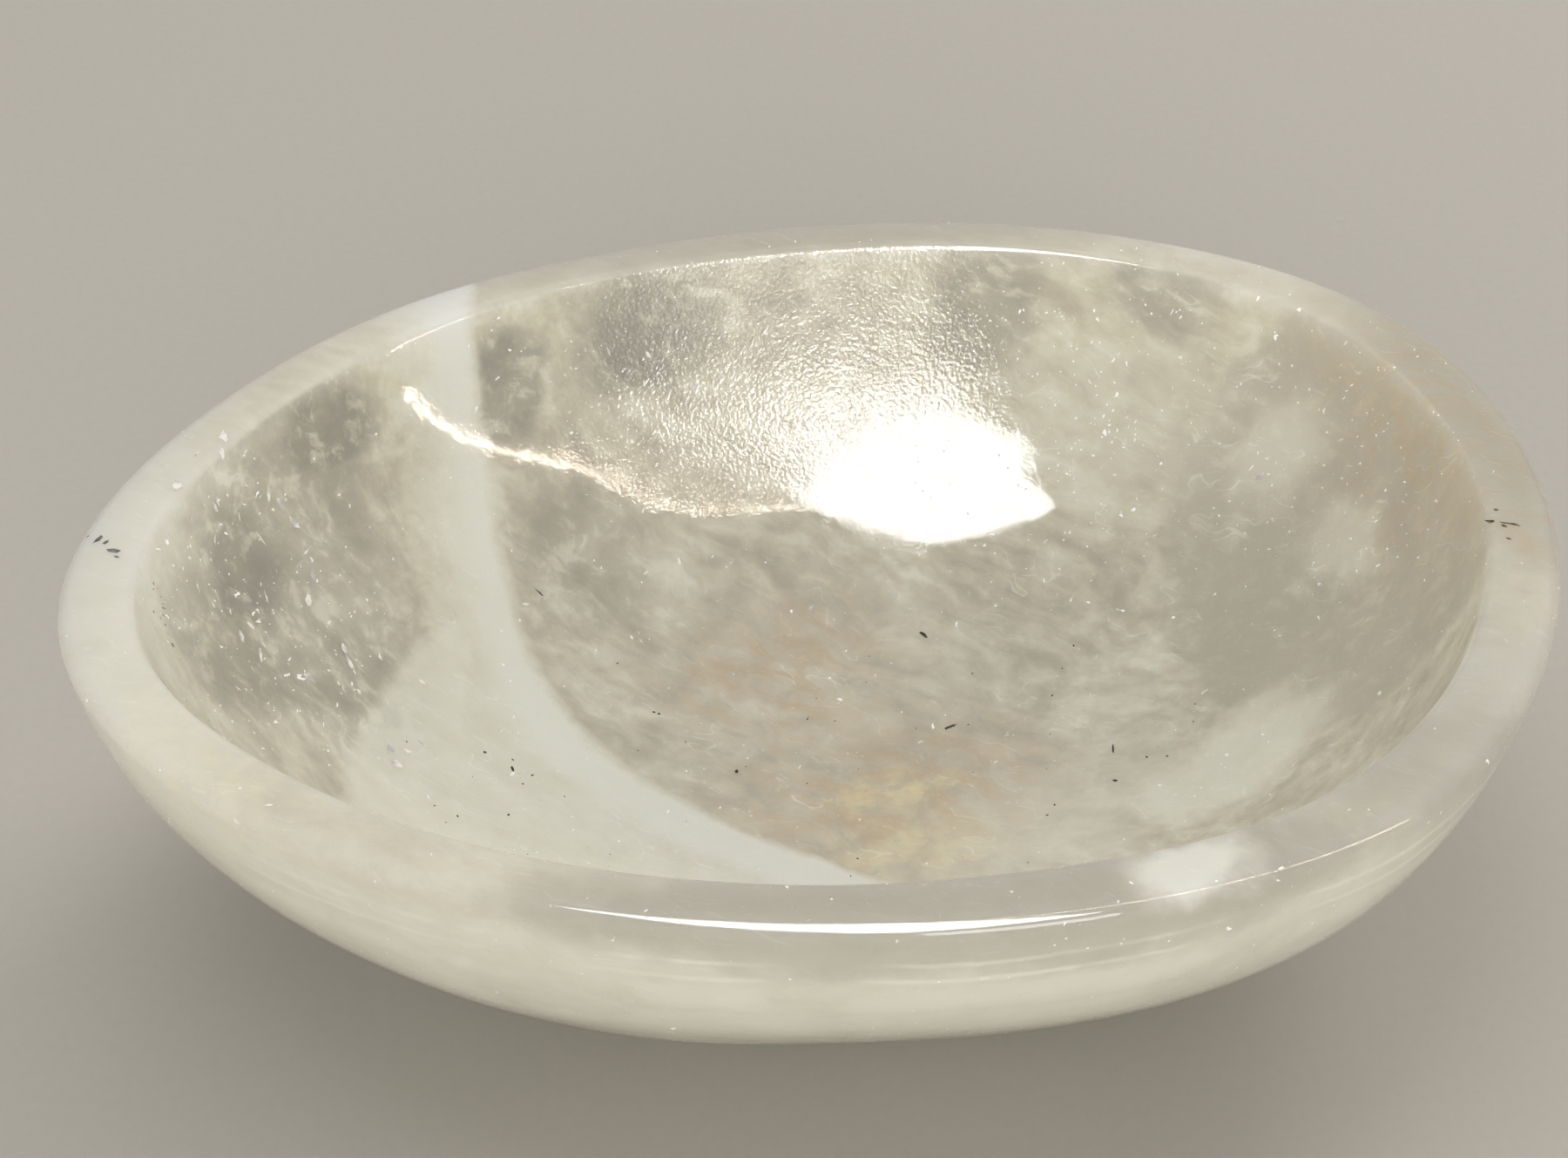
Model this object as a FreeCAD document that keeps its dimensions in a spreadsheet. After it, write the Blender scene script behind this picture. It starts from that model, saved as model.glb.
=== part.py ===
import FreeCAD, Part
import math
import os
import Sketcher

# A free-form oval bowl carved from one block of milky rock crystal, with the dark mineral grains
# that its polished surface cuts through.
# Frame: origin at the centre of the flat base, +Z up, +X along the length of the oval.

doc = FreeCAD.newDocument("quartz_bowl")

# Driving dimensions, millimetres

sheet = doc.addObject("Spreadsheet::Sheet", "Dimensions")

driving = {
    "oval_length": 152,
    "oval_width": 125,
    "bowl_height": 46,
    "land_at_ends": 7.6,
    "land_at_sides": 6.8,
    "lip_outer_radius": 2.2,
    "lip_inner_radius": 0.8,
    "base_edge_radius": 1.0,
    "floor_thickness": 9,
}

# Limits for the tests below: mm, and shares of a volume
level_tolerance = 0.01
largest_share_left = 0.8
volume_tolerance = 0.001

# How far the hand-carved outline stands out of a true oval, every 30 degrees from +X
outline_factors = [0.99, 1.06, 1.02, 0.965, 0.97, 0.96, 1.02, 0.95, 0.93, 0.955, 1.05, 0.98]

# Height above the base, and size of the oval there as a share of the lip's, from base to lip
wall_levels = [
    (0, 0.42),
    (3, 0.51),
    (9, 0.645),
    (17, 0.775),
    (26, 0.895),
    (36, 0.972),
    (46, 1.0),
]

# The same for the hollow: height above the hollow's floor, share of the lip's inner edge
hollow_levels = [
    (0, 0.20),
    (0.7, 0.32),
    (3, 0.47),
    (8, 0.655),
    (15, 0.79),
    (23, 0.895),
    (31, 0.965),
    (38, 1.0),
]

# Grains of other mineral, as ellipsoids: node, centre, three half sizes, turn about Z in degrees
grains = {
    "rim_grain_back": ("rim_grains", (-70.2, 11.4, 45.7), (1.3, 0.9, 1.2), -15),
    "rim_grain_front": ("rim_grains", (-69.9, 8.6, 45.7), (1.0, 1.3, 1.4), 25),
    "lip_pocket": ("lip_pocket_fill", (65.0, -14.3, 43.2), (1.1, 2.8, 1.6), 14),
    "long_needle": ("floor_needles", (16.6, 8.0, 9.5), (0.45, 1.3, 0.5), -25),
    "short_needle": ("floor_needles", (17.1, 22.2, 11.8), (0.4, 0.9, 0.6), 40),
    "outer_needle": ("floor_needles", (-32.4, 7.6, 12.7), (0.5, 0.9, 0.6), -60),
}

for name, values in (("wall", wall_levels), ("hollow", hollow_levels)):
    for index, (height, share) in enumerate(values):
        driving[f"{name}_height_{index}"] = height
        driving[f"{name}_share_{index}"] = share
for index, factor in enumerate(outline_factors):
    driving[f"outline_factor_{index}"] = factor
for name, (node, centre, half_sizes, turn) in grains.items():
    for axis, place, half in zip("xyz", centre, half_sizes):
        driving[f"{name}_at_{axis}"] = place
        driving[f"{name}_half_{axis}"] = half
    driving[f"{name}_turn"] = turn

for row, (alias, value) in enumerate(driving.items(), start=1):
    sheet.set(f"A{row}", alias)
    sheet.set(f"B{row}", str(value))
    sheet.setAlias(f"B{row}", alias)
doc.recompute()


def cell(alias):
    return f"<<Dimensions>>.{alias}"


def value_of(alias):
    return float(sheet.get(alias))


# The oval outline: one closed cubic spline, its control points on a carved oval

point_count = len(outline_factors)
step_angle = 360 / point_count
# A closed cubic spline runs inside its control points by this much on a circle
spline_gain = 3 / (2 + math.cos(math.radians(step_angle)))


def outline_sketch(body, name, height, share, half_length, half_width):
    """A closed spline whose control points follow the sheet, at a height above the base."""
    base_plane = next(item for item in body.Origin.OriginFeatures if item.Role == "XY_Plane")
    sketch = body.newObject("Sketcher::SketchObject", name)
    sketch.AttachmentSupport = (base_plane, [""])
    sketch.MapMode = "FlatFace"
    sketch.setExpression("AttachmentOffset.Base.z", height)

    along = [math.cos(math.radians(step_angle * k)) * spline_gain for k in range(point_count)]
    across = [math.sin(math.radians(step_angle * k)) * spline_gain for k in range(point_count)]
    start_length = value_of("oval_length") / 2
    start_width = value_of("oval_width") / 2
    points = [
        FreeCAD.Vector(start_length * a * factor, start_width * b * factor, 0)
        for a, b, factor in zip(along, across, outline_factors)
    ]
    curve = sketch.addGeometry(Part.BSplineCurve(points, None, None, True, 3, None, False), False)
    for k, point in enumerate(points):
        mark = sketch.addGeometry(Part.Circle(point, FreeCAD.Vector(0, 0, 1), 1), True)
        sketch.addConstraint(
            Sketcher.Constraint("InternalAlignment:Sketcher::BSplineControlPoint", mark, 3, curve, k)
        )
        sketch.addConstraint(Sketcher.Constraint("Weight", mark, 1.0))
        factor = cell(f"outline_factor_{k}")
        for kind, place, half, unit in (
            ("DistanceX", point.x, half_length, along[k]),
            ("DistanceY", point.y, half_width, across[k]),
        ):
            constraint = sketch.addConstraint(Sketcher.Constraint(kind, -1, 1, mark, 3, place))
            sketch.setExpression(f"Constraints[{constraint}]", f"({half}) * {share} * {factor} * {unit:.9f}")
    return sketch


def edges_at(shape, height, longest):
    """Names of the closed edges in the level plane, the longest or the shortest one."""
    level = [
        (edge.Length, f"Edge{index}")
        for index, edge in enumerate(shape.Edges, start=1)
        if abs(edge.BoundBox.ZMin - height) < level_tolerance
        and abs(edge.BoundBox.ZMax - height) < level_tolerance
    ]
    level.sort(reverse=longest)
    return [level[0][1]]


def add_fillet(body, name, base, edge_names, radius_alias):
    fillet = body.newObject("PartDesign::Fillet", name)
    fillet.Base = (base, edge_names)
    fillet.setExpression("Radius", cell(radius_alias))
    body.Tip = fillet
    doc.recompute()
    return fillet


# Carved block: outer wall, then the hollow, then the eased edges

block = doc.addObject("PartDesign::Body", "CarvedBlock")
half_oval_length = f"{cell('oval_length')} / 2"
half_oval_width = f"{cell('oval_width')} / 2"
wall_sketches = [
    outline_sketch(
        block,
        f"WallOutline{index}",
        cell(f"wall_height_{index}"),
        cell(f"wall_share_{index}"),
        half_oval_length,
        half_oval_width,
    )
    for index in range(len(wall_levels))
]
doc.recompute()
outer_wall = block.newObject("PartDesign::AdditiveLoft", "OuterWall")
outer_wall.Profile = wall_sketches[0]
outer_wall.Sections = wall_sketches[1:]
outer_wall.Ruled = False
doc.recompute()

half_hollow_length = f"{cell('oval_length')} / 2 - {cell('land_at_ends')}"
half_hollow_width = f"{cell('oval_width')} / 2 - {cell('land_at_sides')}"
hollow_sketches = [
    outline_sketch(
        block,
        f"HollowOutline{index}",
        f"{cell('floor_thickness')} + {cell(f'hollow_height_{index}')}",
        cell(f"hollow_share_{index}"),
        half_hollow_length,
        half_hollow_width,
    )
    for index in range(len(hollow_levels))
]
doc.recompute()
blank_volume = outer_wall.Shape.Volume
hollow = block.newObject("PartDesign::SubtractiveLoft", "Hollow")
hollow.Profile = hollow_sketches[0]
hollow.Sections = hollow_sketches[1:]
hollow.Ruled = False
block.Tip = hollow
doc.recompute()
if hollow.Shape.Volume > largest_share_left * blank_volume:
    raise RuntimeError("the hollow was not cut")

lip = value_of("bowl_height")
lip_outer = add_fillet(block, "LipOuterEdge", hollow, edges_at(hollow.Shape, lip, True), "lip_outer_radius")
lip_inner = add_fillet(
    block, "LipInnerEdge", lip_outer, edges_at(lip_outer.Shape, lip, False), "lip_inner_radius"
)
base_edge = add_fillet(block, "BaseEdge", lip_inner, edges_at(lip_inner.Shape, 0, True), "base_edge_radius")

# Grains: each ellipsoid is trimmed flush by the polished surface, and the stone has its pocket

trimmed = {}
ellipsoids = []
for name, (node, centre, half_sizes, turn) in grains.items():
    grain = doc.addObject("Part::Ellipsoid", name)
    grain.setExpression("Radius1", cell(f"{name}_half_z"))
    grain.setExpression("Radius2", cell(f"{name}_half_x"))
    grain.setExpression("Radius3", cell(f"{name}_half_y"))
    grain.Placement = FreeCAD.Placement(
        FreeCAD.Vector(*centre), FreeCAD.Rotation(FreeCAD.Vector(0, 0, 1), turn)
    )
    for axis in "xyz":
        grain.setExpression(f"Placement.Base.{axis}", cell(f"{name}_at_{axis}"))
    grain.setExpression("Placement.Rotation.Angle", cell(f"{name}_turn"))
    ellipsoids.append(grain)
    flush = doc.addObject("Part::Common", f"{name}_flush")
    flush.Base = block
    flush.Tool = grain
    trimmed.setdefault(node, []).append(flush)

pockets = doc.addObject("Part::MultiFuse", "Pockets")
pockets.Shapes = ellipsoids
bowl = doc.addObject("Part::Cut", "Bowl")
bowl.Base = block
bowl.Tool = pockets
bowl.Label = "quartz_bowl"
sub_parts = [bowl]

for node, pieces in trimmed.items():
    group = doc.addObject("Part::Compound", f"Group_{node}")
    group.Links = pieces
    group.Label = node
    sub_parts.append(group)

doc.recompute()

# Nothing is written unless every object of the document is sound, and the stone and its grains
# together fill the carved block

for item in doc.Objects:
    if any(word in item.State for word in ("Invalid", "Error")):
        raise RuntimeError(f"{item.Name} failed: {item.State}")
for item in sub_parts:
    if item.Shape.isNull() or not item.Shape.isValid() or item.Shape.Volume <= 0:
        raise RuntimeError(f"{item.Label} has no sound shape")
total_volume = sum(item.Shape.Volume for item in sub_parts)
if abs(total_volume / block.Shape.Volume - 1) > volume_tolerance:
    raise RuntimeError(f"sub-parts hold {total_volume:.1f} mm3, the block {block.Shape.Volume:.1f} mm3")

os.makedirs("parts", exist_ok=True)
for item in sub_parts:
    item.Shape.exportStep(f"parts/{item.Label}.step")
    print(f"{item.Label}: {len(item.Shape.Solids)} solid(s), {item.Shape.Volume:.2f} mm3")
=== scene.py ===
import math
import random

import bmesh
import bpy
from mathutils import Matrix, Vector, noise
from mathutils.bvhtree import BVHTree


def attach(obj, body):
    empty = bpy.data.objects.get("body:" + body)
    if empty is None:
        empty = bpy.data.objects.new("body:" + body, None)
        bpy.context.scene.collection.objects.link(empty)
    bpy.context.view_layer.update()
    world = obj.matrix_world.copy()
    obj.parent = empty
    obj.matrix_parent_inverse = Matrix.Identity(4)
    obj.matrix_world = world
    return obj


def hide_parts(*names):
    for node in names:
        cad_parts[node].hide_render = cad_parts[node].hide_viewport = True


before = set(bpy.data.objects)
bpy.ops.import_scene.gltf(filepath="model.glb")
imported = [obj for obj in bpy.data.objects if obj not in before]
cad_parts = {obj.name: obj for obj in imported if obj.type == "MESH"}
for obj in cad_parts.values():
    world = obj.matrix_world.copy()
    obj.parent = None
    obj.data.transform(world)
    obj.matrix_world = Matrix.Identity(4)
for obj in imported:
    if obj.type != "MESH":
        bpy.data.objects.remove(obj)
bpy.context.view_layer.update()  # the scene is in metres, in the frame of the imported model; shapes are given in mm
mm = 0.001
print("frame loaded:", sorted(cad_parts))


cameraSettings = {
    "azimuth": -12.0,  # degrees, 0 looks along +Y
    "elevation": 36.35,
    "distance": 0.2661,
    "lens": 62.66,  # mm on a 36 mm sensor
    "aim": (-0.0060, -0.0091, 0.0460),  # on the plane of the lip
}


def lookFrom(azimuth, elevation):
    # unit vector from the aim towards the viewer
    a, e = math.radians(azimuth), math.radians(elevation)
    return Vector((math.sin(a) * math.cos(e), -math.cos(a) * math.cos(e), math.sin(e)))


def addCamera(settings):
    data = bpy.data.cameras.new("studioCamera")
    data.lens = settings["lens"]
    data.sensor_width = 36.0
    data.clip_start, data.clip_end = 0.01, 20.0
    camera = bpy.data.objects.new("studioCamera", data)
    back = lookFrom(settings["azimuth"], settings["elevation"])
    camera.location = Vector(settings["aim"]) + back * settings["distance"]
    camera.rotation_euler = back.to_track_quat("Z", "Y").to_euler()
    bpy.context.collection.objects.link(camera)
    bpy.context.scene.camera = camera


# towards is the direction from the bowl to the light, distance and size are in metres, roll in
# degrees; glossOnly lights show only as reflections, and mirrored says whether one shows at all
lightSettings = {
    "window": {"towards": (0.64, 0.55, 0.66), "distance": 1.2, "size": (0.50, 0.50), "roll": 0,
               "power": 4.2, "colour": (1.0, 0.965, 0.91), "mirrored": False, "glossOnly": False},
    "overhead": {"towards": (-0.10, 0.10, 1.0), "distance": 1.0, "size": (0.9, 0.6), "roll": 0,
                 "power": 2.7, "colour": (1.0, 0.995, 0.97), "mirrored": False, "glossOnly": False},
    "softbox": {"towards": (-0.08, -0.62, 0.785), "distance": 0.70, "size": (0.32, 0.66), "roll": 27,
                "power": 10.5, "colour": (1.0, 0.995, 0.98), "mirrored": True, "glossOnly": True},
    "warmTube": {"towards": (0.60, -0.565, 0.57), "distance": 0.70, "size": (0.014, 0.96), "roll": 28,
                 "power": 1.4, "colour": (1.0, 0.86, 0.72), "mirrored": True, "glossOnly": True},
    "lowSoftbox": {"towards": (0.12, -0.95, 0.14), "distance": 0.90, "size": (0.34, 0.22), "roll": 0,
                   "power": 1.5, "colour": (0.97, 0.985, 1.0), "mirrored": True, "glossOnly": True},
    "frontFill": {"towards": (-0.22, -0.95, 0.28), "distance": 1.1, "size": (1.0, 0.6), "roll": 0,
                  "power": 5.4, "colour": (1.0, 0.985, 0.96), "mirrored": False, "glossOnly": False},
}
worldSettings = {"colour": (1.0, 0.985, 0.96), "strength": 0.38}


def addLights(settings, world):
    for name, light in settings.items():
        data = bpy.data.lights.new(name, "AREA")
        data.shape = "RECTANGLE"
        data.size, data.size_y = light["size"]
        data.energy = light["power"]
        data.color = light["colour"]
        lamp = bpy.data.objects.new(name, data)
        towards = Vector(light["towards"]).normalized()
        across = Vector((0, 0, 1)).cross(towards).normalized()
        upward = towards.cross(across)
        facing = Matrix((across, upward, towards)).transposed()
        roll = Matrix.Rotation(math.radians(light["roll"]), 3, "Z")
        lamp.rotation_euler = (facing @ roll).to_euler()
        lamp.location = Vector((0, 0, 0.03)) + towards * light["distance"]
        lamp.visible_glossy = light["mirrored"]
        lamp.visible_diffuse = lamp.visible_transmission = not light["glossOnly"]
        bpy.context.collection.objects.link(lamp)
    sky = bpy.data.worlds.new("studioLight")
    sky.use_nodes = True
    background = sky.node_tree.nodes["Background"]
    background.inputs["Color"].default_value = (*world["colour"], 1)
    background.inputs["Strength"].default_value = world["strength"]
    bpy.context.scene.world = sky


addCamera(cameraSettings)
addLights(lightSettings, worldSettings)
bpy.context.scene.view_settings.view_transform = "Standard"
print("camera and lights placed")


def fromScreen(red, green, blue):
    # screen colour 0..255 to the linear colour that shaders use
    def linear(channel):
        c = channel / 255
        return c / 12.92 if c <= 0.04045 else ((c + 0.055) / 1.055) ** 2.4
    return (linear(red), linear(green), linear(blue), 1.0)


class Wire:
    # one shader socket, so that sums on it read as plain maths
    def __init__(self, kit, socket):
        self.kit, self.socket = kit, socket

    def maths(self, operation, first, second=0.0):
        node = self.kit.add("ShaderNodeMath", {"operation": operation}, {0: first, 1: second})
        return self.kit.wire(node, 0)

    def __add__(self, other):
        return self.maths("ADD", self, other)

    def __radd__(self, other):
        return self.maths("ADD", other, self)

    def __sub__(self, other):
        return self.maths("SUBTRACT", self, other)

    def __rsub__(self, other):
        return self.maths("SUBTRACT", other, self)

    def __mul__(self, other):
        return self.maths("MULTIPLY", self, other)

    def __abs__(self):
        return self.maths("ABSOLUTE", self)

    def clamped(self):
        return self.maths("MINIMUM", self.maths("MAXIMUM", self, 0.0), 1.0)

    def atLeast(self, other):
        return self.maths("MAXIMUM", self, other)


class ShaderKit:
    def __init__(self, name):
        self.material = bpy.data.materials.new(name)
        self.material.use_nodes = True
        self.tree = self.material.node_tree
        self.tree.nodes.clear()

    def wire(self, node, output):
        return Wire(self, node.outputs[output])

    def add(self, kind, settings=None, sockets=None):
        node = self.tree.nodes.new(kind)
        for name, value in (settings or {}).items():
            setattr(node, name, value)
        for name, value in (sockets or {}).items():
            socket = node.inputs[name]
            if isinstance(value, Wire):
                self.tree.links.new(value.socket, socket)
            else:
                socket.default_value = value
        return node

    def place(self):
        # Object coordinates in millimetres
        node = self.add("ShaderNodeTexCoord")
        return self.scaled(self.wire(node, "Object"), 1000.0)

    def scaled(self, vector, scale):
        node = self.add("ShaderNodeVectorMath", {"operation": "SCALE"}, {0: vector, "Scale": scale})
        return self.wire(node, 0)

    def vector(self, operation, first, second):
        node = self.add("ShaderNodeVectorMath", {"operation": operation}, {0: first, 1: second})
        return self.wire(node, 0)

    def length(self, vector):
        node = self.add("ShaderNodeVectorMath", {"operation": "LENGTH"}, {0: vector})
        return self.wire(node, 1)

    def axes(self, vector):
        node = self.add("ShaderNodeSeparateXYZ", {}, {0: vector})
        return [self.wire(node, index) for index in range(3)]

    def stretched(self, vector, degrees, lengths):
        # a pattern turned about the three axes, its grain lengthened along each turned axis
        turn = tuple(math.radians(angle) for angle in degrees)
        node = self.add("ShaderNodeMapping", {"vector_type": "TEXTURE"},
                        {"Vector": vector, "Rotation": turn, "Scale": lengths})
        return self.wire(node, 0)

    def noise(self, place, scale, detail=2.0, roughness=0.5, colour=False):
        node = self.add("ShaderNodeTexNoise", {"noise_dimensions": "3D"},
                        {"Vector": place, "Scale": scale, "Detail": detail, "Roughness": roughness})
        return self.wire(node, 1 if colour else 0)

    def drift(self, place, scale, detail, reach):
        # moves the place by up to about half of reach, mm
        away = self.vector("SUBTRACT", self.noise(place, scale, detail, 0.6, colour=True), (0.5, 0.5, 0.5))
        return self.vector("ADD", place, self.scaled(away, reach))

    def cells(self, place, scale):
        # distance to the nearest cell centre, and a random number for each cell
        node = self.add("ShaderNodeTexVoronoi", {"feature": "F1"}, {"Vector": place, "Scale": scale})
        return self.wire(node, "Distance"), self.axes(self.wire(node, "Color"))[0]

    def ramp(self, value, low, high):
        # smooth step from 0 at low to 1 at high; low may be the larger one
        node = self.add("ShaderNodeMapRange", {"interpolation_type": "SMOOTHSTEP"},
                        {0: value, 1: low, 2: high})
        return self.wire(node, 0)

    def blend(self, factor, first, second):
        node = self.add("ShaderNodeMix", {"data_type": "RGBA"}, {0: factor, 6: first, 7: second})
        return self.wire(node, 2)

    def bump(self, height):
        # height in millimetres
        return self.wire(self.add("ShaderNodeBump", {}, {"Height": height, "Distance": mm}), 0)

    def finish(self, shader):
        output = self.add("ShaderNodeOutputMaterial")
        self.tree.links.new(shader.outputs[0], output.inputs["Surface"])
        return self.material


quartz = {
    "clearColour": fromScreen(208, 204, 192),
    "lobeColour": fromScreen(214, 209, 195),
    "shadeColour": fromScreen(203, 197, 182),
    "bodyColour": fromScreen(220, 215, 199),
    "veilColour": fromScreen(246, 246, 234),
    "rosyColour": fromScreen(211, 191, 163),
    "honeyColour": fromScreen(246, 232, 190),
    "specksAndPaintedGlintColour": fromScreen(255, 255, 255),
    "paintedGlintGlowColour": fromScreen(160, 160, 156),
    "smokeColour": fromScreen(156, 151, 152),
    "ior": 1.544,
    "polish": 0.04,  # roughness
    "clearTransmission": 0.80,
    "milkyTransmission": 0.06,
    "depth": 0.013,  # how far light wanders in the milky stone, m
}

# Places in the stone: centre mm, half sizes mm, strength, softness of the edge
windowPlaces = {
    "left": ((-57, 20, 35), (15.5, 21, 17), 0.42, 0.14),
    "leftCore": ((-57, 19, 36), (7, 8, 8), 0.9, 0.5),
    "leftBack": ((-48, 35, 42), (7, 7, 5), 0.85, 0.4),
    "leftFoot": ((-46, 14, 22), (7, 10, 6), 0.6, 0.6),
    "backLeft": ((-10, 52, 40), (8, 7, 8), 0.85, 0.45),
    "backLeftLow": ((-27, 46, 37), (4.5, 7, 8), 0.75, 0.25),
    "besideVeil": ((-20, 34, 22), (9, 9, 8), 0.35, 0.5),
    "backRight": ((30, 49, 38), (6, 6, 8), 0.65, 0.5),
    "backFarRight": ((50, 41, 43), (7, 6, 4), 0.45, 0.5),
    "centreShade": ((2, 30, 14), (14, 8, 6), 0.2, 0.8),
}
lobePlaces = {
    "right": ((65, 5, 33), (30, 28, 25), 1.0, 0.045),
}
lipPlaces = {
    "front": ((-2, -60, 49), (54, 16, 10), 0.75, 0.25),
    "frontRight": ((48, -44, 47), (20, 16, 8), 0.60, 0.4),
    "back": ((20, 60, 46), (64, 10, 12), 0.65, 0.6),
    "right": ((76, 8, 46), (11, 36, 14), 0.65, 0.6),
}
veilPlaces = {
    "lipPatch": ((20, -56, 46), (5.5, 3.4, 4), 0.75, 0.5),
    "lipPatchRight": ((54, -36, 45), (9, 6, 5), 0.25, 0.7),
    "leftLip": ((-68, 2, 45), (10, 34, 9), 0.5, 0.7),
    "rightCloud": ((46, -13, 18), (17, 6.5, 7), 0.75, 0.4),
    "rightCloudFoot": ((26, -10, 11), (12, 7, 6), 0.3, 0.7),
    "lobeSpot": ((56, 21, 33), (9, 5, 6), 0.45, 0.6),
    "lobeStreak": ((62, 6, 30), (7, 5, 3), 0.35, 0.7),
    "backCream": ((44, 34, 30), (12, 9, 10), 0.30, 0.8),
}
# Warm rosy and honey tints on the floor of the hollow and on the lips
rosyPlaces = {
    "warmUpper": ((0, 20, 11), (13, 11, 6), 0.75, 0.7),
    "warmCentre": ((9, -2, 9), (17, 12, 6), 0.8, 0.8),
    "rightLip": ((72, 2, 43), (12, 36, 20), 0.5, 0.7),
}
honeyPlaces = {
    "patch": ((8, -1, 9), (6, 3, 4), 0.9, 0.8),
    "patchFront": ((10, -10, 9), (11, 4, 4), 0.5, 0.8),
    "leftLip": ((-66, -22, 44), (10, 16, 8), 0.35, 0.8),
}
# Where the white specks and painted glints cluster
specksAndPaintedGlintPlaces = {
    "left": ((-56, 17, 33), (13, 14, 13), 1.0, 0.5),
    "leftFoot": ((-62, -8, 34), (8, 12, 10), 0.6, 0.6),
    "back": ((-14, 47, 34), (12, 8, 12), 0.7, 0.6),
    "besideShine": ((38, 38, 28), (20, 16, 18), 1.0, 0.6),
    "right": ((60, 14, 34), (13, 14, 14), 0.6, 0.6),
}
peelPlaces = {
    "backWall": ((6, 52, 36), (25, 15, 17), 1.0, 0.45),
}

# The white veil is a curved sheet through the stone, given in plan: its crisp right edge bends away
# as it comes forward, and a paler fan spreads from its soft left edge
veilSheet = {"edge": -29.8, "sweep": 0.0146, "turnAt": 33.0, "width": 6.0, "widening": 0.10,
             "fanFrom": 27.0, "fanSpread": 1.09, "fanStrength": 0.66}

# Thin pale bands painted nearly level on the front of the outer wall, a painted reflection standing in for the
# refraction bands that a glassy wall shows:
# height mm, half width mm, strength
paintedRefractionBands = {"upper": (41.2, 0.30, 0.3), "thread": (38.8, 0.28, 0.5), "broad": (35.2, 1.6, 0.5),
               "foot": (29.5, 2.4, 0.35)}


def softPlaces(kit, place, places):
    # the strongest of the named places at each point, 0..1
    total = None
    for centre, halfSizes, strength, softness in places.values():
        away = kit.vector("SUBTRACT", place, centre)
        reach = kit.length(kit.vector("MULTIPLY", away, tuple(1 / size for size in halfSizes)))
        mask = kit.ramp(reach, 1 + softness, 1 - softness) * strength
        total = mask if total is None else total.atLeast(mask)
    return total


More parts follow.
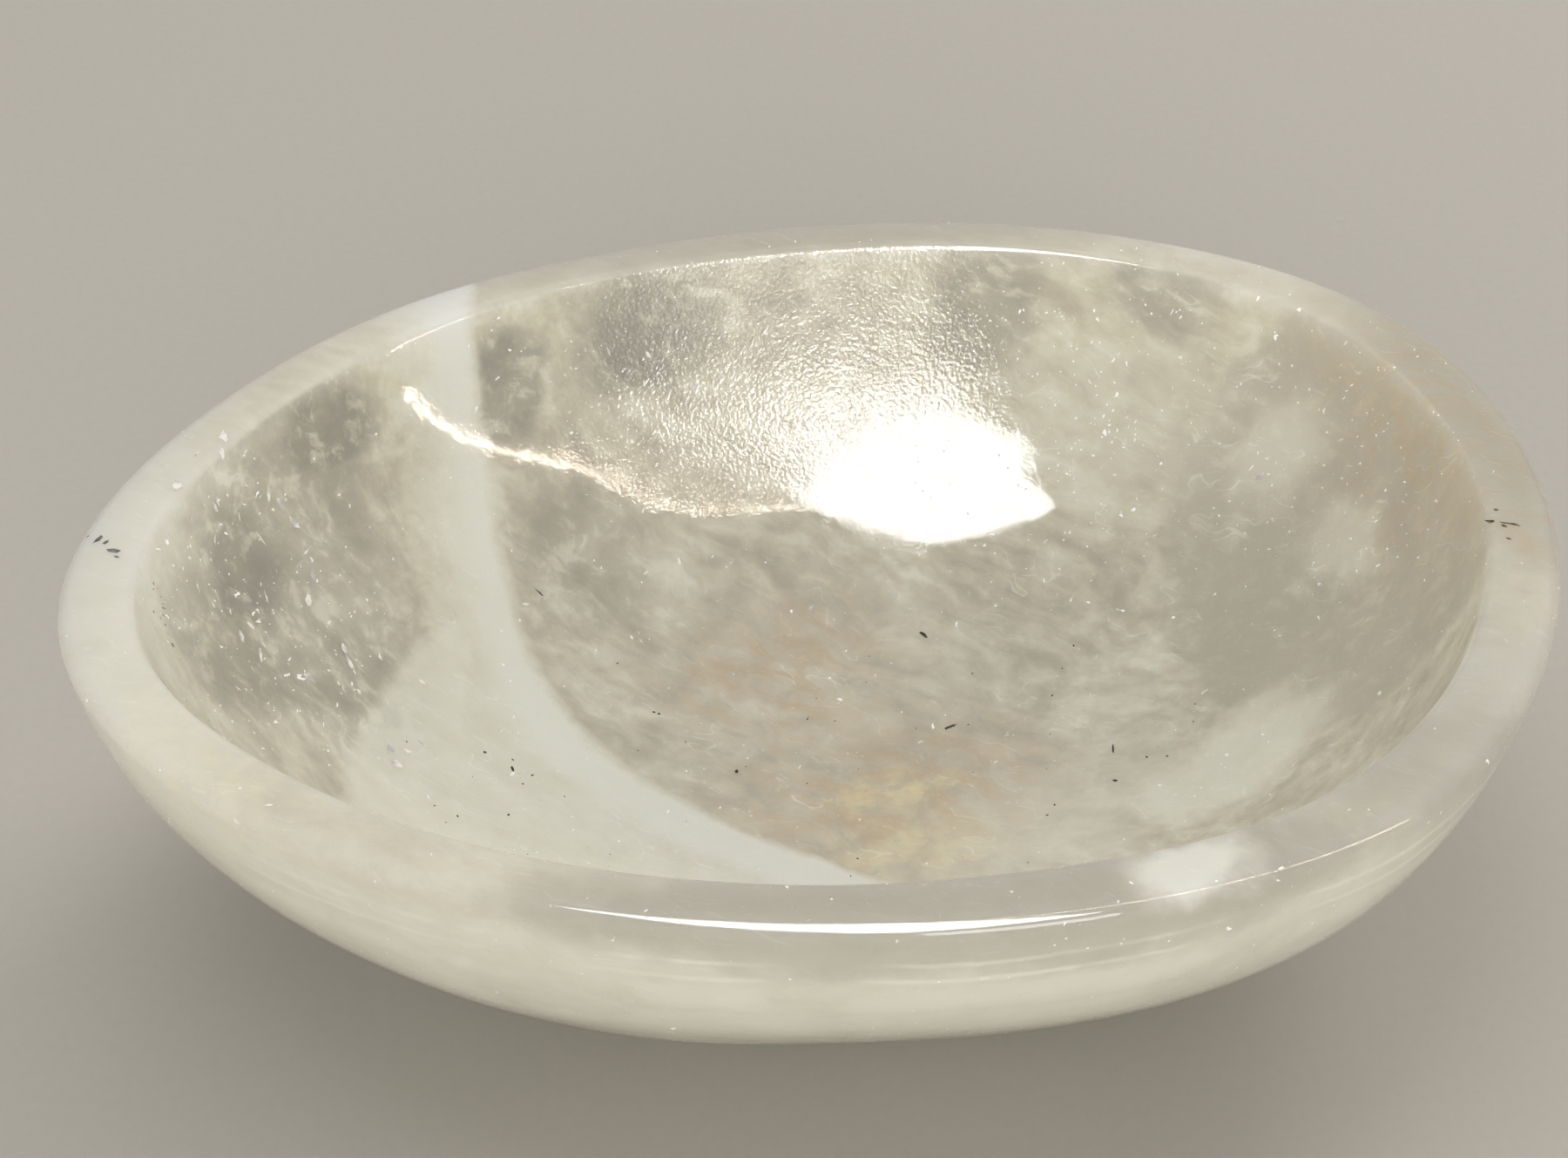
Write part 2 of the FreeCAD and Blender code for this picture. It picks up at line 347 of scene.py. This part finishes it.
def milkyQuartz(settings):
    kit = ShaderKit("milkyQuartz")
    kit.material.cycles.emission_sampling = "NONE"  # the painted glow of the glints is too faint to light anything
    place = kit.place()
    _, y, z = kit.axes(place)
    hollow = kit.wire(kit.add("ShaderNodeAttribute", {"attribute_name": "inside"}), "Fac")
    hollow = kit.ramp(hollow, 0.86, 1.0) * kit.ramp(z, 45.8, 45.2)

    wavy = kit.drift(place, 0.07, 3.0, 9.0)
    frayed = kit.drift(wavy, 0.32, 5.0, 2.6)
    clouds = kit.noise(wavy, 0.055, 4.0, 0.6)
    curds = kit.noise(kit.drift(place, 0.15, 2.0, 4.0), 0.22, 5.0, 0.64)
    streaks = kit.noise(kit.stretched(wavy, (0.0, 12.0, -38.0), (9.0, 2.0, 2.0)), 1.0, 3.0, 0.55)

    window = softPlaces(kit, frayed, windowPlaces) * hollow
    window = window * (1.0 - kit.ramp(streaks * 0.6 + curds * 0.4, 0.50, 0.62) * 0.6)
    lobe = softPlaces(kit, kit.drift(wavy, 0.5, 4.0, 1.4), lobePlaces) * hollow
    clear = window.atLeast(lobe * 0.25)
    clear = clear.atLeast(softPlaces(kit, frayed, lipPlaces) * (1.0 - hollow))
    veil = softPlaces(kit, frayed, veilPlaces) * hollow.atLeast(kit.ramp(z, 36.0, 42.0))
    rosy = softPlaces(kit, wavy, rosyPlaces)
    honey = softPlaces(kit, frayed, honeyPlaces)

    # the veil sheet and its fan
    fx, fy, _ = kit.axes(kit.drift(kit.drift(place, 0.05, 2.0, 4.0), 0.5, 3.0, 0.9))
    forward = (veilSheet["turnAt"] - fy).atLeast(0.0)
    fromEdge = fx - veilSheet["edge"] - forward * forward * veilSheet["sweep"]
    crisp = kit.ramp(fromEdge + curds * 3.0 - 1.5, 1.2, -1.2) * kit.ramp(fy, -24.0, -12.0)
    wide = veilSheet["width"] + forward * veilSheet["widening"]
    sheet = kit.ramp(fromEdge + wide, -5.5, 4.5)
    fanWide = veilSheet["width"] + (veilSheet["fanFrom"] - fy).atLeast(0.0) * veilSheet["fanSpread"]
    fan = kit.ramp(fromEdge + fanWide, -1.4, 0.8) * veilSheet["fanStrength"]
    veil = veil.atLeast(sheet.atLeast(fan) * crisp)
    # painted reflection bands on the front of the outer wall, blended in with the white veils
    level = z + clouds * 2.4 - 1.2
    front = (1.0 - hollow) * kit.ramp(y, -24.0, -44.0) * kit.ramp(kit.noise(place, 0.055, 3.0), 0.40, 0.58)
    for height, halfWidth, strength in paintedRefractionBands.values():
        paintedBand = kit.ramp(abs(level - height), halfWidth * 1.7, halfWidth * 0.2)
        veil = veil.atLeast(paintedBand * strength * front)

    # hairs and fine healed cracks
    hairPlace = kit.stretched(wavy, (0.0, 14.0, -32.0), (14.0, 0.42, 0.42))
    hairs = kit.ramp(kit.noise(hairPlace, 1.0, 2.0, 0.5), 0.60, 0.74)
    crackPlace = kit.stretched(wavy, (12.0, -20.0, -52.0), (24.0, 4.0, 9.0))
    cracks = kit.ramp(abs(kit.noise(crackPlace, 1.0, 2.0, 0.45) - 0.5), 0.006, 0.001)
    cracks = cracks * kit.ramp(curds, 0.46, 0.56) * hollow

    tone = 0.535 + (clouds * 0.34 + streaks * 0.33 + curds * 0.33 - 0.5) * (0.30 + hollow * 0.42)
    colour = kit.blend(kit.ramp(tone, 0.42, 0.55), settings["shadeColour"], settings["bodyColour"])
    colour = kit.blend(kit.ramp(tone, 0.51, 0.67) * 0.75, colour, settings["veilColour"])
    colour = kit.blend((clear * 1.1).clamped(), colour, settings["clearColour"])
    colour = kit.blend(lobe * kit.ramp(tone, 0.62, 0.50), colour, settings["lobeColour"])
    colour = kit.blend((rosy * (0.2 + kit.ramp(streaks, 0.40, 0.62) * 0.8)).clamped(), colour,
                       settings["rosyColour"])
    colour = kit.blend((honey * (0.2 + kit.ramp(curds, 0.40, 0.62) * 0.8)).clamped(), colour,
                       settings["honeyColour"])
    colour = kit.blend((veil * (0.75 + clouds * 0.4) + hairs * 0.22 + cracks * 0.5).clamped(), colour,
                       settings["veilColour"])
    # painted light: the outer wall below the lip is whitened half-way to the veil colour, standing in for light
    # glowing through the stone
    outerWallPaintedGlow = (1.0 - hollow) * kit.ramp(z, 45.5, 41.0)
    colour = kit.blend(outerWallPaintedGlow * 0.5, colour, settings["veilColour"])
    smoke = window * kit.ramp(curds * 0.3 + clouds * 0.7, 0.58, 0.40)
    colour = kit.blend(smoke * 0.42, colour, settings["smokeColour"])

    # white specks of small cleavage faces inside the stone, partly real and partly painted glints that stand in for
    # their sparkle
    specksAndPaintedGlintZone = softPlaces(kit, wavy, specksAndPaintedGlintPlaces)
    shardPlace = kit.stretched(kit.drift(place, 0.5, 2.0, 2.4), (20.0, 35.0, 66.0), (2.4, 0.8, 1.2))
    away, pick = kit.cells(shardPlace, 1.3)
    shards = kit.ramp(away - pick * 0.08, 0.18, 0.02) * kit.ramp(pick + specksAndPaintedGlintZone * 0.20, 0.96, 0.99)
    dotGlintAway, dotGlintPick = kit.cells(kit.drift(place, 2.5, 1.0, 0.5), 2.0)
    dotGlints = kit.ramp(dotGlintAway, 0.30, 0.10) * kit.ramp(dotGlintPick + specksAndPaintedGlintZone * 0.10, 0.988, 0.996)
    specksAndPaintedGlints = (shards + dotGlints).clamped() * kit.ramp(kit.noise(place, 0.3, 1.0), 0.35, 0.50)
    colour = kit.blend(specksAndPaintedGlints, colour, settings["specksAndPaintedGlintColour"])
    # painted glow: the glints also glow faintly through Emission Color, a painted sparkle
    paintedGlintGlow = kit.blend(specksAndPaintedGlints, (0.0, 0.0, 0.0, 1.0), settings["paintedGlintGlowColour"])

    # surface, heights in mm: orange peel left by the last polish, slow waves, tiny pits
    peelZone = 0.05 + softPlaces(kit, wavy, peelPlaces) * 0.95
    peel = kit.noise(place, 2.0, 1.5, 0.5) * peelZone * hollow * 0.15
    waves = kit.noise(place, 0.16, 2.0) * 0.08
    pitAway, pitPick = kit.cells(place, 1.3)
    pits = kit.ramp(pitAway, 0.20, 0.07) * kit.ramp(pitPick, 0.88, 0.89)
    surface = kit.bump(peel + waves - pits * 0.05)
    rough = settings["polish"] + curds * 0.05 + pits * 0.25

    shared = {"Base Color": colour, "IOR": settings["ior"], "Roughness": rough, "Normal": surface,
              "Emission Color": paintedGlintGlow, "Emission Strength": 1.0}
    milkyStone = kit.add("ShaderNodeBsdfPrincipled", {"subsurface_method": "RANDOM_WALK"},
                         {**shared, "Transmission Weight": settings["milkyTransmission"],
                          "Subsurface Weight": 1.0, "Subsurface Radius": (1.0, 0.97, 0.88),
                          "Subsurface Scale": settings["depth"]})
    clearStone = kit.add("ShaderNodeBsdfPrincipled", {},
                         {**shared, "Transmission Weight": settings["clearTransmission"]})
    clearness = 0.08 + clear * 0.40 - kit.ramp(tone, 0.45, 0.62) * 0.08 - veil * 0.5 - specksAndPaintedGlints
    both = kit.add("ShaderNodeMixShader", {},
                   {0: clearness.clamped(), 1: kit.wire(milkyStone, 0), 2: kit.wire(clearStone, 0)})
    return kit.finish(both)


# Levels of the wall and the hollow are height mm and share of the outline's reach at the lip
bowlShape = {
    "outline": [0.99, 1.06, 1.02, 0.965, 0.97, 0.96, 1.02, 0.95, 0.93, 0.955, 1.05, 0.98],
    "halfLength": 76.0, "halfWidth": 62.5,  # mm, before the outline's unevenness
    "landAtEnds": 7.6, "landAtSides": 6.8,
    "wall": [(0, 0.0), (0, 0.006), (0, 0.05), (0, 0.18), (0, 0.36), (0, 0.405), (0.5, 0.435), (3, 0.51),
             (6, 0.583), (9, 0.645), (13, 0.717), (17, 0.775), (21.5, 0.838), (26, 0.895), (31, 0.941),
             (36, 0.972), (41, 0.989), (46, 1.0)],
    "hollow": [(46, 1.0), (42.5, 0.982), (38, 0.952), (33, 0.91), (28, 0.853), (24, 0.79), (20, 0.724),
               (16.5, 0.645), (13.7, 0.56), (11.5, 0.45), (10.0, 0.32), (9.2, 0.18), (9.0, 0.08),
               (8.97, 0.02), (8.97, 0.0)],
    "steps": 96, "smoothing": 2,
    "lipOuterRadius": 2.2, "lipInnerRadius": 0.9,
    "handWobble": 0.30,  # mm
    # the front is ground flatter: towards degrees from +X, depth mm at a height mm and how far it
    # spreads up and down, how narrow it is around, and the share of the base that stays as it is
    "flatSide": {"towards": -100.0, "depth": 2.6, "height": 8.0, "spread": 22.0, "narrowness": 8,
                 "baseShare": 0.3},
}


def outlineReach(shape, angle, halfLength, halfWidth):
    # closed cubic spline through the carved outline's control points, at an angle from +X
    factors = shape["outline"]
    count = len(factors)
    gain = 3 / (2 + math.cos(2 * math.pi / count))
    along = (angle / (2 * math.pi) * count) % count
    first = int(along)
    u = along - first
    weights = ((1 - u) ** 3 / 6, (3 * u ** 3 - 6 * u ** 2 + 4) / 6,
               (-3 * u ** 3 + 3 * u ** 2 + 3 * u + 1) / 6, u ** 3 / 6)
    x = y = 0.0
    for step, weight in zip((-1, 0, 1, 2), weights):
        k = (first + step) % count
        turn = 2 * math.pi * k / count
        x += weight * math.cos(turn) * factors[k] * gain * halfLength
        y += weight * math.sin(turn) * factors[k] * gain * halfWidth
    return x, y


def newPiece(name, bm, material, smooth):
    # millimetres to metres, and onto the object's one body
    bmesh.ops.scale(bm, vec=(mm, mm, mm), verts=bm.verts)
    mesh = bpy.data.meshes.new(name)
    bm.to_mesh(mesh)
    bm.free()
    if smooth:
        mesh.shade_smooth()
    mesh.materials.append(material)
    piece = bpy.data.objects.new(name, mesh)
    bpy.context.collection.objects.link(piece)
    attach(piece, "root")
    return piece


def carveBowl(shape, material):
    bm = bmesh.new()
    inside = bm.verts.layers.float.new("inside")
    blankRatio = 0.9  # the hollow starts smaller than the wall, so that the two lips stay apart
    profile = []
    for height, share in shape["wall"]:
        vert = bm.verts.new((share, 0, height))
        profile.append(vert)
    for height, share in shape["hollow"]:
        vert = bm.verts.new((share * blankRatio, 0, height))
        vert[inside] = 1.0
        profile.append(vert)
    edges = [bm.edges.new(pair) for pair in zip(profile, profile[1:])]
    bmesh.ops.spin(bm, geom=profile + edges, cent=(0, 0, 0), axis=(0, 0, 1), angle=2 * math.pi,
                   steps=shape["steps"], use_merge=True)
    bmesh.ops.remove_doubles(bm, verts=bm.verts, dist=1e-5)
    # the round blank becomes the carved oval
    flat = shape["flatSide"]
    for vert in bm.verts:
        angle = math.atan2(vert.co.y, vert.co.x)
        land = vert[inside]
        reach = math.hypot(vert.co.x, vert.co.y) / (blankRatio if land else 1.0)
        x, y = outlineReach(shape, angle, shape["halfLength"] - land * shape["landAtEnds"],
                            shape["halfWidth"] - land * shape["landAtSides"])
        if not land and reach > flat["baseShare"]:
            facing = max(0.0, math.cos(angle - math.radians(flat["towards"]))) ** flat["narrowness"]
            level = math.exp(-((vert.co.z - flat["height"]) / flat["spread"]) ** 2)
            reach -= flat["depth"] * facing * level / shape["halfWidth"]
        vert.co = (x * reach, y * reach, vert.co.z)
    bmesh.ops.recalc_face_normals(bm, faces=bm.faces)
    lip = shape["hollow"][0][0]
    for isInside, radius, segments in ((0.0, shape["lipOuterRadius"], 5), (1.0, shape["lipInnerRadius"], 3)):
        rim = [edge for edge in bm.edges
               if all(abs(v.co.z - lip) < 1e-4 and v[inside] == isInside for v in edge.verts)]
        bmesh.ops.bevel(bm, geom=rim, offset=radius, offset_type="OFFSET", segments=segments, profile=0.5,
                        affect="EDGES", material=-1, clamp_overlap=True)
    # uneven hand grinding, none on the flat base and all of it from 9 mm up
    bm.normal_update()
    for vert in bm.verts:
        free = min(1.0, max(0.0, (vert.co.z - 1.0) / 8.0))
        push = noise.noise(vert.co * 0.035) + noise.noise(vert.co * 0.09 + Vector((7, 3, 1))) * 0.4
        vert.co += vert.normal * push * shape["handWobble"] * free
    bowl = newPiece("carvedBowl", bm, material, True)
    smooth = bowl.modifiers.new("smooth", "SUBSURF")
    smooth.levels = smooth.render_levels = shape["smoothing"]
    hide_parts("quartz_bowl")
    return bowl


bowl = carveBowl(bowlShape, milkyQuartz(quartz))
stoneSurface = BVHTree.FromObject(bowl, bpy.context.evaluated_depsgraph_get())
print("bowl carved:", len(bowl.data.polygons), "faces before smoothing")


def onStone(x, y):
    # the polished surface straight below a place given in mm: place in mm, and its normal
    hit, normal, _, _ = stoneSurface.ray_cast(Vector((x, y, 100)) * mm, Vector((0, 0, -1)))
    return (hit / mm if hit else None), normal


def darkMineral(settings):
    kit = ShaderKit("darkMineral")
    place = kit.place()
    mottle = kit.ramp(kit.noise(place, 1.4, 4.0, 0.65), 0.35, 0.66)
    colour = kit.blend(mottle, settings["dark"], settings["light"])
    surface = kit.bump(kit.noise(place, 3.0, 3.0) * 0.08)
    bsdf = kit.add("ShaderNodeBsdfPrincipled", {},
                   {"Base Color": colour, "Roughness": 0.25 + mottle * 0.3, "Normal": surface})
    return kit.finish(bsdf)


slateColours = {"dark": fromScreen(88, 93, 98), "light": fromScreen(142, 146, 146)}
blackColours = {"dark": fromScreen(20, 18, 16), "light": fromScreen(52, 46, 40)}
rustColours = {"dark": fromScreen(66, 54, 42), "light": fromScreen(120, 100, 78)}


def addGrain(bm, x, y, halfSizes, turn, sunk, rng):
    # an angular grain whose cut face stands almost flush with the polish; sunk is its share below
    made = bmesh.ops.create_icosphere(bm, subdivisions=1, radius=1.0)["verts"]
    for vert in made:
        vert.co *= rng.uniform(0.78, 1.12)
    bmesh.ops.scale(bm, vec=halfSizes, verts=made)
    bmesh.ops.rotate(bm, matrix=Matrix.Rotation(math.radians(turn), 3, "Z"), verts=made)
    hit, normal = onStone(x, y)
    bmesh.ops.rotate(bm, matrix=normal.to_track_quat("Z", "Y").to_matrix(), verts=made)
    bmesh.ops.translate(bm, vec=hit - normal * halfSizes[2] * sunk, verts=made)


rimGrainShapes = {
    # x, y, half sizes, turn, share sunk
    "back": (-71.3, 11.6, (1.15, 0.60, 0.15), -30, 0.6),
    "backTail": (-70.6, 10.9, (0.65, 0.42, 0.14), 20, 0.6),
    "front": (-69.9, 9.3, (0.58, 1.05, 0.15), 20, 0.6),
    "frontTip": (-69.6, 8.2, (0.36, 0.62, 0.14), -15, 0.6),
    "chip": (-72.4, 12.6, (0.30, 0.22, 0.12), 10, 0.6),
}
pocketShapes = {
    "streak": (66.6, -14.6, (0.34, 2.1, 0.14), 10, 0.7),
    "upperDot": (66.9, -12.3, (0.26, 0.38, 0.16), 0, 0.5),
    "middleDot": (66.5, -15.2, (0.28, 0.42, 0.16), 0, 0.5),
    "lowerDot": (66.0, -17.4, (0.22, 0.55, 0.14), 12, 0.5),
}
needleShapes = {
    "long": (16.6, 8.0, (0.28, 1.15, 0.22), -25, 0.4),
    "short": (17.1, 22.2, (0.26, 0.85, 0.2), 48, 0.4),
    "outer": (-32.4, 7.6, (0.24, 0.60, 0.2), -60, 0.4),
    "thin": (32.3, -1.9, (0.14, 0.95, 0.12), 84, 0.4),
    "fine": (-26.0, 30.4, (0.13, 0.90, 0.12), 20, 0.4),
}


def addGrains(name, shapes, colours, node, seed):
    rng = random.Random(seed)
    bm = bmesh.new()
    for x, y, halfSizes, turn, sunk in shapes.values():
        addGrain(bm, x, y, halfSizes, turn, sunk, rng)
    material = darkMineral(colours)
    material.name = name + "Mineral"
    piece = newPiece(name, bm, material, False)
    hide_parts(node)


addGrains("rimGrains", rimGrainShapes, slateColours, "rim_grains", 3)
addGrains("lipPocketGrains", pocketShapes, rustColours, "lip_pocket_fill", 5)
addGrains("floorNeedles", needleShapes, blackColours, "floor_needles", 7)
print("mineral grains set")


speckSettings = {
    "placed": [(-35.1, 9.6), (-32.2, 8.9), (-30.4, 6.8), (-31.6, 5.4), (-18.3, 10.5), (-8.1, 6.1),
               (-15.5, 16.2), (-15.0, 15.9), (-33.8, 0.3), (30.9, -7.1), (-24.0, -6.0), (-12.0, -15.0)],
    "scattered": 46, "spread": (46, 26), "size": (0.09, 0.21), "placedGain": 1.3, "scatteredGain": 0.8,
    "seed": 11,
}


def addSpecks(settings):
    rng = random.Random(settings["seed"])
    places = list(settings["placed"])
    for _ in range(settings["scattered"]):
        angle, reach = rng.uniform(0, 2 * math.pi), math.sqrt(rng.random())
        places.append((math.cos(angle) * reach * settings["spread"][0] - 4,
                       math.sin(angle) * reach * settings["spread"][1]))
    bm = bmesh.new()
    for index, (x, y) in enumerate(places):
        isPlaced = index < len(settings["placed"])
        half = rng.uniform(*settings["size"]) * settings["placedGain" if isPlaced else "scatteredGain"]
        addGrain(bm, x, y, (half, half * rng.uniform(1.0, 1.9), half), rng.uniform(0, 180), 0.5, rng)
    material = darkMineral(blackColours)
    material.name = "speckMineral"
    newPiece("blackSpecks", bm, material, False)


addSpecks(speckSettings)
print("specks scattered")


stainSettings = {"start": (-66.3, 7.6), "branches": 15, "length": (0.5, 1.3), "width": 0.14, "seed": 23}


def addRustStain(settings):
    # a branching iron stain along the inner edge of the lip
    rng = random.Random(settings["seed"])
    bm = bmesh.new()
    tips = [(*settings["start"], -100.0)]
    for _ in range(settings["branches"]):
        x, y, heading = rng.choice(tips[-4:])
        heading += rng.uniform(-55, 55)
        length = rng.uniform(*settings["length"])
        dx, dy = math.cos(math.radians(heading)) * length, math.sin(math.radians(heading)) * length
        addGrain(bm, x + dx / 2, y + dy / 2, (length * 0.6, settings["width"] * rng.uniform(0.6, 1.5), 0.12),
                 heading, 0.7, rng)
        tips.append((x + dx * 0.9, y + dy, heading))
    material = darkMineral(rustColours)
    material.name = "rustStain"
    newPiece("lipRustStain", bm, material, False)


addRustStain(stainSettings)
print("rust stain grown")


# Cleavage flakes in the clear stone: zone centre x y, spread mm, count, length mm. Those of the first
# share lie deeper in the stone, the rest are cut flush by the polish.
flakeZones = {
    "leftWindow": ((-56, 18), (8, 11), 64, (0.7, 2.4)),
    "leftFoot": ((-46, 13), (7, 9), 26, (0.5, 1.8)),
    "leftWall": ((-60, -6), (5, 11), 16, (0.5, 1.8)),
    "backWindow": ((-12, 49), (8, 4), 20, (0.4, 1.4)),
    "middle": ((-8, 26), (16, 12), 16, (0.4, 1.5)),
    "rightLobe": ((58, 12), (10, 16), 36, (0.4, 1.3)),
    "frontLip": ((0, -55), (48, 4), 22, (0.3, 1.0)),
}
flakeSettings = {"deepShare": 0.5, "deep": (0.3, 2.5), "flush": (0.0, 0.02), "deepTilt": 28,
                 "flushTilt": 2.5, "thickness": 0.06, "seed": 31}


def fractureGlint():
    kit = ShaderKit("fractureGlint")
    place = kit.place()
    tint = kit.ramp(kit.noise(place, 0.7, 2.0), 0.40, 0.62)
    colour = kit.blend(tint, fromScreen(206, 205, 204), fromScreen(255, 252, 244))
    surface = kit.bump(kit.noise(place, 4.0, 2.0) * 0.05)
    bsdf = kit.add("ShaderNodeBsdfPrincipled", {},
                   {"Base Color": colour, "Roughness": 0.15 + tint * 0.2, "Normal": surface})
    return kit.finish(bsdf)


def addFlakes(zones, settings):
    rng = random.Random(settings["seed"])
    bm = bmesh.new()
    for (cx, cy), (sx, sy), count, lengths in zones.values():
        for index in range(count):
            deep = index < count * settings["deepShare"]
            depths, tiltSpread = ((settings["deep"], settings["deepTilt"]) if deep
                                  else (settings["flush"], settings["flushTilt"]))
            angle, reach = rng.uniform(0, 2 * math.pi), math.sqrt(rng.random())
            x, y = cx + math.cos(angle) * reach * sx, cy + math.sin(angle) * reach * sy
            hit, normal = onStone(x, y)
            if hit is None or normal.z < 0.1:  # past the edge of the lip
                continue
            long = rng.uniform(*lengths)
            made = bmesh.ops.create_cone(bm, cap_ends=True, segments=rng.randint(3, 6), radius1=0.5,
                                         radius2=0.46, depth=settings["thickness"])["verts"]
            for vert in made:
                vert.co.x *= rng.uniform(0.6, 1.2)
                vert.co.y *= rng.uniform(0.6, 1.2)
            bmesh.ops.scale(bm, vec=(long, long * rng.uniform(0.12, 0.6), 1), verts=made)
            tilt = Matrix.Rotation(math.radians(rng.gauss(0, tiltSpread)), 3, "X")
            spin = Matrix.Rotation(math.radians(rng.gauss(60, 30)), 3, "Z")
            bmesh.ops.rotate(bm, matrix=spin @ tilt, verts=made)
            bmesh.ops.rotate(bm, matrix=normal.to_track_quat("Z", "Y").to_matrix(), verts=made)
            bmesh.ops.translate(bm, vec=hit - normal * rng.uniform(*depths), verts=made)
    newPiece("cleavageFlakes", bm, fractureGlint(), False)


addFlakes(flakeZones, flakeSettings)
print("cleavage flakes set")


def paleFloor():
    kit = ShaderKit("paleFloor")
    place = kit.place()
    grain = kit.noise(place, 0.8, 4.0)
    colour = kit.blend(grain, fromScreen(192, 188, 180), fromScreen(199, 195, 187))
    bsdf = kit.add("ShaderNodeBsdfPrincipled", {},
                   {"Base Color": colour, "Roughness": 0.75, "Specular IOR Level": 0.0})
    return kit.finish(bsdf)


def addFloor(material):
    bm = bmesh.new()
    bmesh.ops.create_grid(bm, x_segments=4, y_segments=4, size=3.0)
    mesh = bpy.data.meshes.new("floor")
    bm.to_mesh(mesh)
    bm.free()
    floor = bpy.data.objects.new("floor", mesh)
    floor.data.materials.append(material)
    bpy.context.collection.objects.link(floor)


addFloor(paleFloor())
print("floor laid")
